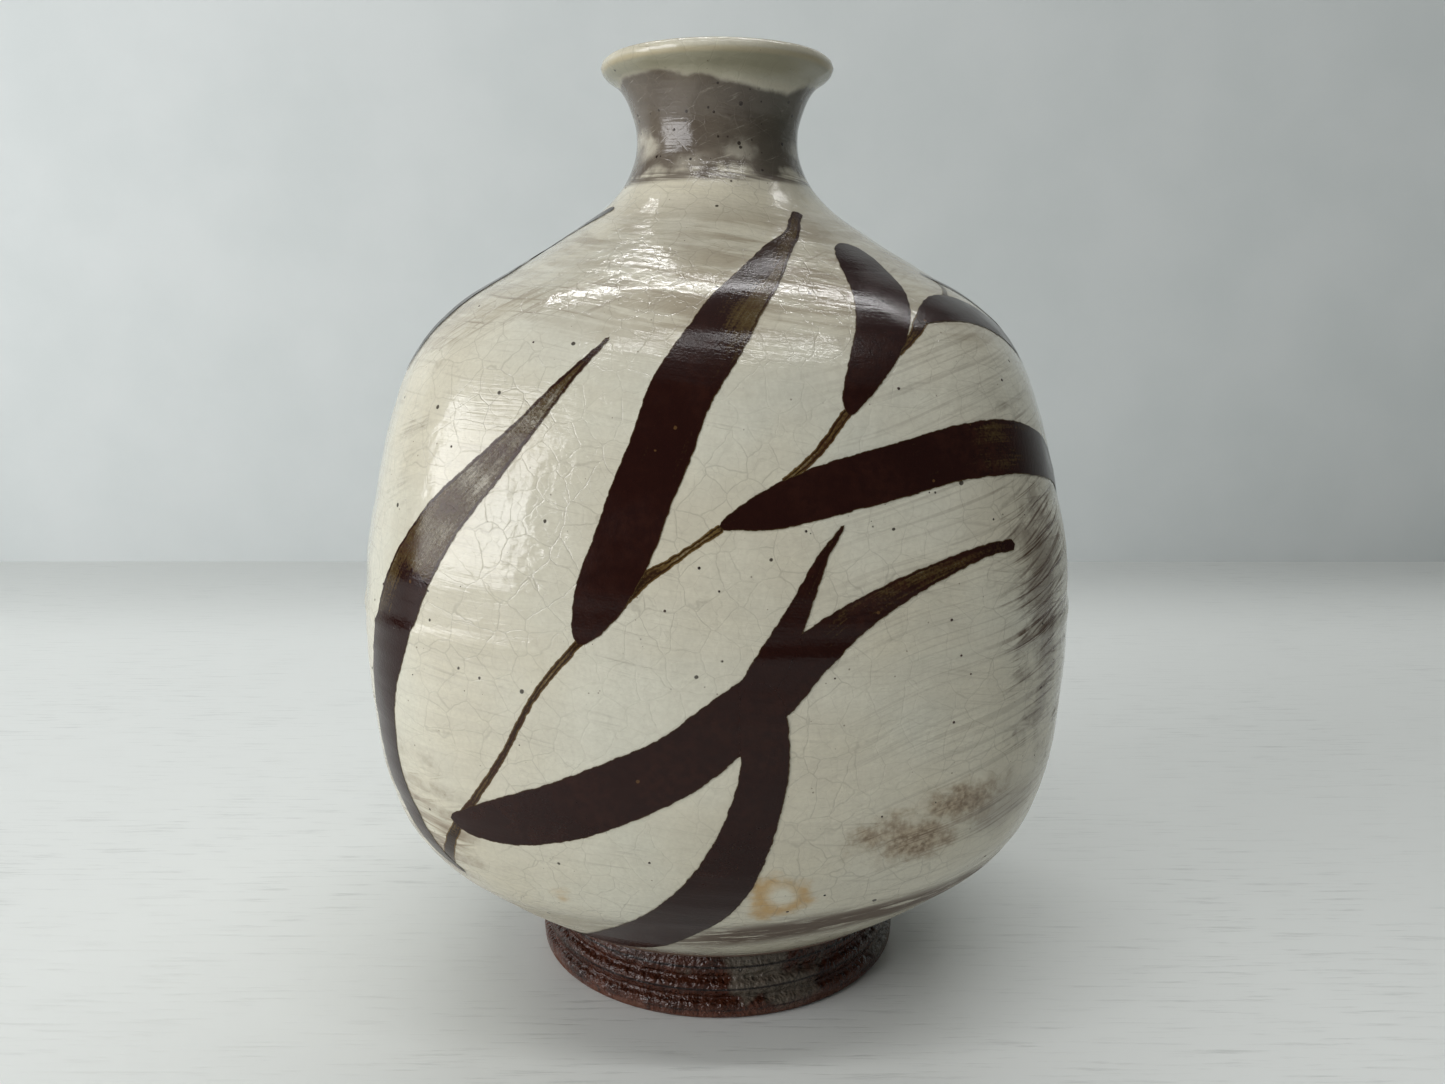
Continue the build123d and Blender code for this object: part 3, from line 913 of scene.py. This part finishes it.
LEAVES = [
    [(-17, 143, 0.3, 0.75), (-22, 136, 1.1, 0.5), (-27, 128, 2.0, 0.36), (-32, 120, 3.1, 0.36),
     (-37, 112, 4.3, 0.46), (-40.5, 104, 5.3, 0.55), (-41.5, 101.5, 5.5, 0.85, 0.3),
     (-45, 91, 5.9, 0.95, 0.3), (-48, 79, 5.2, 1.0), (-49, 66, 4.4, 0.95), (-47, 54, 3.3, 0.9),
     (-44, 45, 2.0, 0.9), (-41, 41, 0.6, 0.9)],
    [(36, 167, 1.1, 0.75), (30, 165, 1.2, 0.6), (24, 162, 1.6, 0.65), (16, 158.5, 2.8, 0.75, -0.3),
     (9, 153.5, 4.2, 0.78, -0.4), (4, 149, 5.0, 0.75, -0.4), (0, 143, 5.4, 0.9, -0.15), (-5, 134, 5.5, 0.95),
     (-7.5, 125, 5.4, 1.0), (-10, 117, 5.4, 1.0), (-12, 109, 5.3, 1.0), (-14.5, 101, 4.7, 1.0),
     (-16.5, 95, 2.8, 1.0), (-17.5, 92, 0.7, 1.0)],
    [(42, 160.5, 2.6, 0.9), (38, 157.5, 4.6, 0.95), (34, 153, 5.5, 1.0), (30, 148, 5.3, 1.0),
     (26.5, 143, 4.6, 1.0), (23, 138, 3.6, 1.0), (20, 133, 2.2, 0.9), (19, 130, 0.8, 0.9)],
    [(0.5, 112, 0.6, 1.0), (4, 113.5, 2.3, 1.0), (8, 115, 3.6, 1.0), (13, 117, 4.3, 1.0), (19, 119, 4.6, 1.0),
     (26, 121, 4.7, 1.0), (33, 123, 4.8, 0.95), (38, 123.7, 5.0, 0.72), (43, 123.6, 5.0, 0.75),
     (48, 122.5, 4.8, 0.9), (56, 119.5, 4.0, 0.9), (63, 115, 2.6, 0.9), (68, 111, 0.6, 0.9)],
    [(35, 145.5, 0.9, 1.0), (39, 147, 2.6, 1.0), (45, 148, 4.2, 1.0), (51, 147.5, 4.8, 1.0),
     (57, 145.5, 4.6, 1.0), (64, 142, 3.4, 0.95), (71, 137, 0.8, 0.9)],
    [(40.5, 107, 1.0, 0.95), (36, 106.5, 1.1, 0.85), (32, 105, 1.4, 0.62), (25, 101.5, 2.0, 0.66, 0.15),
     (18, 96.5, 2.9, 0.8, 0.15), (12, 90.5, 4.0, 1.0), (7, 84, 5.0, 1.0), (1, 77.5, 5.5, 1.0),
     (-5, 71, 5.7, 1.0), (-12, 66, 6.0, 1.0), (-20, 61, 6.0, 1.0), (-28, 57.5, 5.3, 1.0), (-34, 56, 3.4, 1.0),
     (-37.5, 56, 1.0, 1.0)],
    [(17, 112, 0.3, 0.8), (15.5, 109.5, 0.6, 0.8), (14, 107, 0.9, 0.8), (12, 102, 1.5, 0.8),
     (9.8, 96, 2.2, 0.9), (7, 89, 3.0, 1.0), (4, 82, 3.0, 1.0)],
    [(5, 86, 2.6, 1.0), (6, 80, 4.0, 1.0), (6.3, 76, 4.2, 1.0), (6.3, 69, 4.3, 1.0), (5, 61, 4.6, 1.0),
     (3, 53, 5.1, 1.0), (0, 45, 5.8, 1.0), (-5, 37, 6.2, 1.0), (-13, 29, 6.4, 0.95), (-21, 24, 5.4, 0.9),
     (-30, 20.5, 3.4, 0.85), (-40, 18.5, 1.2, 0.8)],
    [(57, 155, 0.4, 0.9), (63, 152.5, 2.2, 0.9), (70, 149, 3.8, 1.0), (79, 143, 4.8, 1.0),
     (88, 136, 4.6, 1.0), (96, 128, 3.0, 0.9), (102, 121, 0.6, 0.9)],
    [(72, 58, 0.6, 0.9), (79, 62, 3.0, 1.0), (88, 66.5, 5.0, 1.0), (98, 70, 5.5, 1.0), (108, 71.5, 4.4, 0.9),
     (117, 71, 2.0, 0.8), (123, 70, 0.5, 0.8)],
    [(106, 110, 0.4, 0.7), (101, 101, 1.9, 0.6), (97, 91, 3.8, 0.85), (94, 80, 5.0, 1.0), (92, 70, 4.6, 1.0)],
    [(178, 152, 0.4, 0.7), (174, 143, 2.2, 0.6), (171, 133, 4.2, 0.75), (169, 122, 5.2, 1.0),
     (169, 111, 5.0, 1.0), (171, 101, 3.4, 1.0), (174, 93, 0.8, 1.0)],
    [(217, 159, 1.6, 0.9), (211, 154, 4.2, 1.0), (205, 147, 4.9, 1.0), (200, 139, 3.8, 1.0),
     (196, 130, 0.8, 1.0)],
    [(182, 101, 0.6, 1.0), (188, 104, 3.0, 1.0), (197, 107.5, 4.7, 1.0), (207, 110, 5.1, 0.95),
     (217, 110, 4.4, 0.8), (226, 108, 2.6, 0.75), (233, 105, 0.6, 0.8)],
    [(166, 72, 0.6, 1.0), (159, 70, 3.2, 1.0), (151, 66, 5.2, 1.0), (143, 60, 5.5, 1.0), (136, 53, 4.2, 0.9),
     (130, 46, 2.0, 0.8), (127, 42, 0.6, 0.8)],
    [(161, 62, 0.8, 1.0), (165, 54, 3.4, 1.0), (168, 45, 5.0, 1.0), (168, 36, 5.2, 1.0), (165, 28, 4.0, 0.9),
     (160, 22, 1.2, 0.9)],
    [(-56, 168.5, 0.6, 0.9), (-63, 167.5, 1.8, 0.9), (-76, 164, 3.2, 1.0), (-88, 158, 4.4, 1.0),
     (-97, 149, 4.2, 1.0), (-104, 141, 2.4, 0.9), (-108, 135, 0.6, 0.9)],
    [(-64, 136, 1.2, 0.9), (-61, 144, 2.8, 1.0), (-62, 150, 3.4, 1.0), (-67, 155.5, 3.4, 0.9),
     (-76, 159, 2.2, 0.8), (-86, 160, 0.6, 0.8)],
    [(-97, 104, 0.8, 1.0), (-93, 96, 3.4, 1.0), (-89, 86, 5.2, 1.0), (-85, 75, 5.4, 1.0), (-81, 64, 4.4, 0.9),
     (-78, 54, 2.2, 0.8), (-76, 48, 0.5, 0.8)],
    [(-114, 68, 0.8, 1.0), (-120, 74, 3.0, 1.0), (-128, 80, 4.8, 1.0), (-137, 84, 4.8, 0.9),
     (-146, 86, 3.0, 0.8), (-153, 86, 0.6, 0.8)],
]


def smooth_through(points):
    """Values every half millimetre or so along a smooth line through the given stations."""
    stations = [np.array(point if len(point) == 5 else (*point, 0.0), float) for point in points]
    stations = [2 * stations[0] - stations[1]] + stations + [2 * stations[-1] - stations[-2]]
    line = []
    for first, second, third, fourth in zip(stations, stations[1:], stations[2:], stations[3:]):
        span = math.hypot((third[0] - second[0]) * MM_PER_DEGREE, third[1] - second[1])
        count = max(2, int(span / STROKE_STEP))
        for step in range(count):
            t = step / count
            bend = 2 * first - 5 * second + 4 * third - fourth
            twist = 3 * second - first - 3 * third + fourth
            line.append(second + 0.5 * t * (third - first + t * (bend + t * twist)))
    line.append(stations[-2])
    return line


class Surface:
    """The finished glaze, as something to draw on."""

    def __init__(self, piece):
        self.mesh = piece.data
        self.corners = [vertex.co.copy() for vertex in self.mesh.vertices]
        self.normals = [vertex.normal.copy() for vertex in self.mesh.vertices]
        self.faces = [tuple(face.vertices) for face in self.mesh.polygons]
        self.tree = BVHTree.FromPolygons(self.corners, self.faces)

    def smooth_normal(self, place_at, face):
        """The shading normal at a point of a face, weighted by how near each corner is."""
        total = Vector((0, 0, 0))
        for corner in self.faces[face]:
            distance = (self.corners[corner] - place_at).length
            total += self.normals[corner] / (distance + ON_A_CORNER * MM)
        return total.normalized()

    def at(self, azimuth, height):
        """The point and normal of the outside at a turn and a height."""
        turn = math.radians(azimuth)
        outward = Vector((math.sin(turn), -math.cos(turn), 0.0))
        level = Vector((0, 0, height * MM))
        hit, _, face, _ = self.tree.ray_cast(outward * OUTSIDE_ALL + level, -outward)
        return hit, self.smooth_normal(hit, face)

    def near(self, place_at):
        """The nearest point of the surface and its normal."""
        hit, _, face, _ = self.tree.find_nearest(place_at)
        return hit, self.smooth_normal(hit, face)


def depth_inside(points, strokes):
    """How far points lie inside the nearest of some strokes, in millimetres; negative outside."""
    deepest = np.full(len(points), FAR_OUTSIDE)
    for spots, halves in strokes:
        apart = np.linalg.norm(points[:, None, :] - spots[None, :, :], axis=2) / MM
        deepest = np.maximum(deepest, np.max(halves[None, :] - apart, axis=1))
    return deepest


def paint_strokes(name, strokes, surface, finish, lift):
    """Lays each stroke on the surface as a strip that carries its own width, course and load.

    Where strokes cross, the strip also carries how far it lies inside the others, so they merge.
    """
    corners, normals, faces = [], [], []
    values = {"across": [], "half": [], "along": [], "load": []}
    middles, firsts = [], []
    for number, stroke in enumerate(strokes):
        line = smooth_through(stroke)
        spots = [surface.at(station[0], station[1]) for station in line]
        gone = [0.0]
        for (here, _), (there, _) in zip(spots, spots[1:]):
            gone.append(gone[-1] + (there - here).length / MM)
        height = (lift + LIFT_PER_STROKE * number) * MM
        first = len(corners)
        firsts.append(first)
        halves = []
        for index, station in enumerate(line):
            here, up = spots[index]
            ahead = spots[min(index + 1, len(spots) - 1)][0] - spots[max(index - 1, 0)][0]
            sideways = up.cross(ahead).normalized()
            from_end = min(gone[index], gone[-1] - gone[index])
            tip = max(station[2], SHARPEST_TIP)
            rounding = math.sqrt(max(0.0, 1 - max(0.0, 1 - from_end / tip) ** 2))
            half = station[2] * rounding
            halves.append(half)
            for rib in range(-STROKE_RIBS, STROKE_RIBS + 1):
                share = rib / STROKE_RIBS
                across = (half + STROKE_MARGIN) * share
                on_surface, up_here = surface.near(here + sideways * across * MM)
                corners.append(on_surface + up_here * height)
                normals.append(up_here)
                values["across"].append(across)
                values["half"].append(half)
                values["along"].append(gone[index] + COURSE_PER_STROKE * number)
                values["load"].append(station[3] + station[4] * share)
            if index:
                row = first + index * (2 * STROKE_RIBS + 1)
                below = row - (2 * STROKE_RIBS + 1)
                for rib in range(2 * STROKE_RIBS):
                    faces.append((below + rib, row + rib, row + rib + 1, below + rib + 1))
        middles.append((np.array([tuple(here) for here, up in spots]), np.array(halves)))
    places = np.array([tuple(corner) for corner in corners])
    ends = firsts[1:] + [len(corners)]
    values["others"] = []
    for number, (first, end) in enumerate(zip(firsts, ends)):
        others = middles[:number] + middles[number + 1:]
        values["others"].extend(depth_inside(places[first:end], others))
    mesh = bpy.data.meshes.new(name)
    mesh.from_pydata(corners, [], faces)
    for value, numbers in values.items():
        mesh.attributes.new(value, "FLOAT", "POINT").data.foreach_set("value", numbers)
    mesh.materials.append(finish)
    mesh.shade_smooth()
    if mesh.polygons[0].normal.dot(normals[0]) < 0:
        mesh.flip_normals()
    mesh.normals_split_custom_set_from_vertices(normals)
    painting = bpy.data.objects.new(name, mesh)
    bpy.context.scene.collection.objects.link(painting)
    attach(painting, "root")


def make_iron_finish(name, thick, thin, edge):
    """Iron pigment under glaze: near black where it is thick, olive to amber where it is thin."""
    material, shader, where = start_material(name)
    across, half, along, load, others = [
        place(tree_of(where), "ShaderNodeAttribute", attribute_name=value).outputs["Fac"]
        for value in ("across", "half", "along", "load", "others")
    ]
    wander = use_group(MOTTLE, place=where, size=1.6, detail=3.0)[0]
    grain = use_group(MOTTLE, place=where, size=0.45, detail=2.0)[0]
    pool = use_group(MOTTLE, place=where, size=9.0, detail=4.0)[0]
    own = plus(minus(half, calculate("ABSOLUTE", across)), times(minus(wander, 0.5), 0.22))
    inside = highest(own, others)

    # the load is uneven: hairs of the brush draw lines in it, and it pools and grains as it dries
    hairs = noise_at(joined(times(along, 0.05), times(across, 1.5), load), detail=4.0, roughness=0.65)["Fac"]
    body = load
    for unevenness, depth in ((hairs, 0.75), (pool, 0.24), (grain, 0.16)):
        body = plus(body, times(minus(unevenness, 0.5), depth))

    # pigment creeps to the edge of a thin stroke and dries there, and thins to amber beyond it
    creep = times(band(inside, 0.34, 0.0, 0.34), 0.4)
    body = plus(body, times(creep, ramp(load, 0.5, 0.9, 1.0, 0.0)))
    covered = highest(ramp(body, 0.42, 0.80), ramp(others, 0.0, 0.5))
    colour = blend(times(ramp(inside, 0.0, edge), covered), thin, thick)
    ruddy = times(times(pool, wander), ramp(load, 0.6, 1.0, 0.8, 0.35))
    colour = blend(ruddy, colour, (0.042, 0.012, 0.006, 1))
    amber_specks = use_group(SPECKS, place=where, spacing=3.4, size=0.34, share=0.16)[0]
    colour = blend(times(amber_specks, 0.5), colour, (0.16, 0.085, 0.03, 1))

    feed(shader.inputs["Alpha"], times(ramp(own, -0.05, 0.07), ramp(body, 0.02, 0.62, 0.12, 1.0)))
    relief = use_group(BRUSH_STREAKS, place=where, slant=0.10, length=55.0, width=3.4, bareness=0.42)[1]
    relief = plus(relief, times(grain, 0.10))
    dress(shader, colour, ramp(pool, 0.0, 1.0, 0.12, 0.24), relief, strength=0.5, depth=0.22)
    shader.inputs["Specular IOR Level"].default_value = 0.24
    return material


glaze_surface = Surface(glaze_coat)
iron_stem = make_iron_finish("iron stem", (0.022, 0.0095, 0.0035, 1), (0.15, 0.095, 0.030, 1), 0.40)
iron_leaf = make_iron_finish("iron leaf", (0.0165, 0.0040, 0.0026, 1), (0.085, 0.055, 0.018, 1), 0.22)
paint_strokes("painted_stems", STEMS, glaze_surface, iron_stem, STROKE_LIFT)
paint_strokes("painted_leaves", LEAVES, glaze_surface, iron_leaf, 3 * STROKE_LIFT)

# ---------------------------------------------------------------------------------------------
# Grains of iron in the clay melt in the firing and rise through the coats as tiny dark bumps.
# They are part of the glaze, so they are low domes that sit on it and turn with its surface.
# ---------------------------------------------------------------------------------------------

BUMPS_PER_SQUARE_METRE = 4200.0
BUMP_RADIUS = 0.34
BUMP_FLATNESS = 0.3
BUMPS_FROM = FOOT_TOP + 4
BUMPS_TO = 194.0


def make_iron_bumps():
    """Geometry nodes that scatter low domes over the outside of the coat."""
    tree = bpy.data.node_groups.new("iron bumps", "GeometryNodeTree")
    sockets = {}
    for name, kind, default in (
        ("Coat", "Object", None),
        ("Density", "Float", 1000.0),
        ("Radius", "Float", 0.2),
        ("Lowest", "Float", 0.02),
        ("Finish", "Material", None),
    ):
        sockets[name] = add_socket(tree, name, kind, default)
    add_socket(tree, "Bumps", "Geometry", output=True)
    given = tree.nodes.new("NodeGroupInput").outputs
    coat = place(tree, "GeometryNodeObjectInfo", {"Object": given["Coat"]}).outputs["Geometry"]

    # only faces that look away from the axis, above the foot and below the lip
    spot = split(place(tree, "GeometryNodeInputPosition").outputs[0])
    facing = split(place(tree, "GeometryNodeInputNormal").outputs[0])
    outward = plus(times(spot["X"], facing["X"]), times(spot["Y"], facing["Y"]))
    seen = calculate("GREATER_THAN", outward, 0.002)
    above = calculate("GREATER_THAN", spot["Z"], given["Lowest"])
    below = calculate("LESS_THAN", spot["Z"], BUMPS_TO * MM)
    chosen = times(times(seen, above), below)
    spread = {"Mesh": coat, "Selection": chosen, "Density": given["Density"], "Seed": 7}
    points = place(tree, "GeometryNodeDistributePointsOnFaces", spread).outputs
    dome = place(tree, "GeometryNodeMeshIcoSphere", {"Radius": MM, "Subdivisions": 1}).outputs["Mesh"]
    size = place(tree, "FunctionNodeRandomValue", {2: 0.3, 3: 1.0, "Seed": 3}).outputs[1]
    size = times(times(size, size), given["Radius"])
    laying = {
        "Points": points["Points"],
        "Instance": dome,
        "Rotation": points["Rotation"],
        "Scale": joined(size, size, times(size, BUMP_FLATNESS)),
    }
    laid = place(tree, "GeometryNodeInstanceOnPoints", laying).outputs[0]
    solid = place(tree, "GeometryNodeRealizeInstances", {0: laid}).outputs[0]
    finishing = {"Geometry": solid, "Material": given["Finish"]}
    finished = place(tree, "GeometryNodeSetMaterial", finishing)
    feed(tree.nodes.new("NodeGroupOutput").inputs[0], finished.outputs[0])
    return tree, sockets


def make_bump_finish():
    """Melted iron, near black with a rusty cast."""
    material, shader, where = start_material("melted iron grain")
    clouds = use_group(MOTTLE, place=where, size=5.0, detail=2.0)[0]
    colour = blend(clouds, (0.012, 0.008, 0.005, 1), (0.050, 0.024, 0.012, 1))
    dress(shader, colour, ramp(clouds, 0.0, 1.0, 0.15, 0.4))
    return material


def scatter_bumps(name, coat):
    """The bumps as one plain mesh."""
    tree, sockets = make_iron_bumps()
    maker = bpy.data.objects.new(name, bpy.data.meshes.new(name))
    bpy.context.scene.collection.objects.link(maker)
    modifier = maker.modifiers.new("bumps", "NODES")
    modifier.node_group = tree
    modifier[sockets["Coat"]] = coat
    modifier[sockets["Density"]] = BUMPS_PER_SQUARE_METRE
    modifier[sockets["Radius"]] = BUMP_RADIUS
    modifier[sockets["Lowest"]] = BUMPS_FROM * MM
    modifier[sockets["Finish"]] = make_bump_finish()
    view = bpy.context.evaluated_depsgraph_get()
    mesh = bpy.data.meshes.new_from_object(maker.evaluated_get(view))
    maker.modifiers.clear()
    maker.data = mesh
    mesh.shade_smooth()
    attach(maker, "root")


scatter_bumps("iron_bumps", glaze_coat)

# ---------------------------------------------------------------------------------------------
# The stage: a table of white laminate that runs to a pale painted wall. A window on the left, two
# strip lights and a bright ceiling light the bottle, and the room's walls fill its shadows.
# ---------------------------------------------------------------------------------------------

STAGE_SIDE = 3.0
TABLE_FRONT = -2.0
WALL_BACK = 0.42
WALL_TOP = 0.55


def make_table_finish():
    """White laminate printed with a fine wood grain."""
    material, shader, where = start_material("pale wood table")
    drawn_out = vector_step("MULTIPLY", where, (45.0, 750.0, 1.0))[0]
    streak = ramp(noise_at(drawn_out, detail=5.0, roughness=0.7)["Fac"], 0.52, 0.70)
    cloud = use_group(MOTTLE, place=where, size=90.0, detail=3.0)[0]
    marks = times(streak, ramp(cloud, 0.0, 1.0, 0.25, 1.0))
    colour = blend(times(marks, 0.55), (0.72, 0.74, 0.715, 1), (0.46, 0.48, 0.46, 1))
    dress(shader, colour, 0.42, streak, strength=0.3, depth=-0.2)
    return material


def make_wall_finish():
    """Matt painted board, a little uneven."""
    material, shader, where = start_material("pale painted wall")
    cloud = use_group(MOTTLE, place=where, size=70.0, detail=5.0)[0]
    dress(shader, blend(cloud, (0.60, 0.635, 0.625, 1), (0.64, 0.67, 0.66, 1)), 0.6)
    return material


def add_panel(name, finish, near, far):
    """A flat panel of the stage, between two (y, z) edges that run from side to side."""
    corners = [(-STAGE_SIDE, *near), (STAGE_SIDE, *near), (STAGE_SIDE, *far), (-STAGE_SIDE, *far)]
    mesh = bpy.data.meshes.new(name)
    mesh.from_pydata(corners, [], [(0, 1, 2, 3)])
    mesh.materials.append(finish)
    panel = bpy.data.objects.new(name, mesh)
    bpy.context.scene.collection.objects.link(panel)


add_panel("table", make_table_finish(), (TABLE_FRONT, 0), (WALL_BACK, 0))
add_panel("wall", make_wall_finish(), (WALL_BACK, 0), (WALL_BACK, WALL_TOP))


def add_light(name, place_at, aim_at, width, height, watts, colour=(1, 1, 1)):
    """A rectangular soft light that faces a point."""
    light = bpy.data.lights.new(name, "AREA")
    light.shape = "RECTANGLE"
    light.size = width
    light.size_y = height
    light.energy = watts
    light.color = colour
    lamp = bpy.data.objects.new(name, light)
    lamp.location = place_at
    lamp.rotation_euler = (Vector(aim_at) - Vector(place_at)).to_track_quat("-Z", "Y").to_euler()
    bpy.context.scene.collection.objects.link(lamp)


BELLY_MIDDLE = (0, 0, 0.12)
SHOULDER_MIDDLE = (0, 0, 0.15)
DAYLIGHT = (0.98, 0.98, 1.0)
add_light("window", (-0.96, -0.56, 0.42), BELLY_MIDDLE, width=0.85, height=0.62, watts=11, colour=DAYLIGHT)
add_light("ceiling_back", (0.08, 0.56, 1.31), SHOULDER_MIDDLE, width=1.3, height=0.07, watts=6)
add_light("ceiling_front", (0.0, -0.42, 1.25), SHOULDER_MIDDLE, width=1.0, height=0.05, watts=3.5)
add_light("ceiling", (0.0, -0.2, 2.2), SHOULDER_MIDDLE, width=3.2, height=3.2, watts=6)

world = bpy.data.worlds.new("room light")
world.use_nodes = True
background = world.node_tree.nodes["Background"]
background.inputs["Color"].default_value = (0.86, 0.90, 0.92, 1)
background.inputs["Strength"].default_value = 0.11
bpy.context.scene.world = world

SENSOR_WIDTH = 36.0
FOCAL_LENGTH = 28.15225
CAMERA_PLACE = (0.00115, -0.258, 0.14604)
CAMERA_TILT = 11.164
camera_data = bpy.data.cameras.new("camera")
camera_data.sensor_width = SENSOR_WIDTH
camera_data.lens = FOCAL_LENGTH
camera = bpy.data.objects.new("camera", camera_data)
camera.location = CAMERA_PLACE
camera.rotation_euler = (math.radians(90 - CAMERA_TILT), 0, 0)
bpy.context.scene.collection.objects.link(camera)
bpy.context.scene.camera = camera
bpy.context.scene.view_settings.view_transform = "Standard"
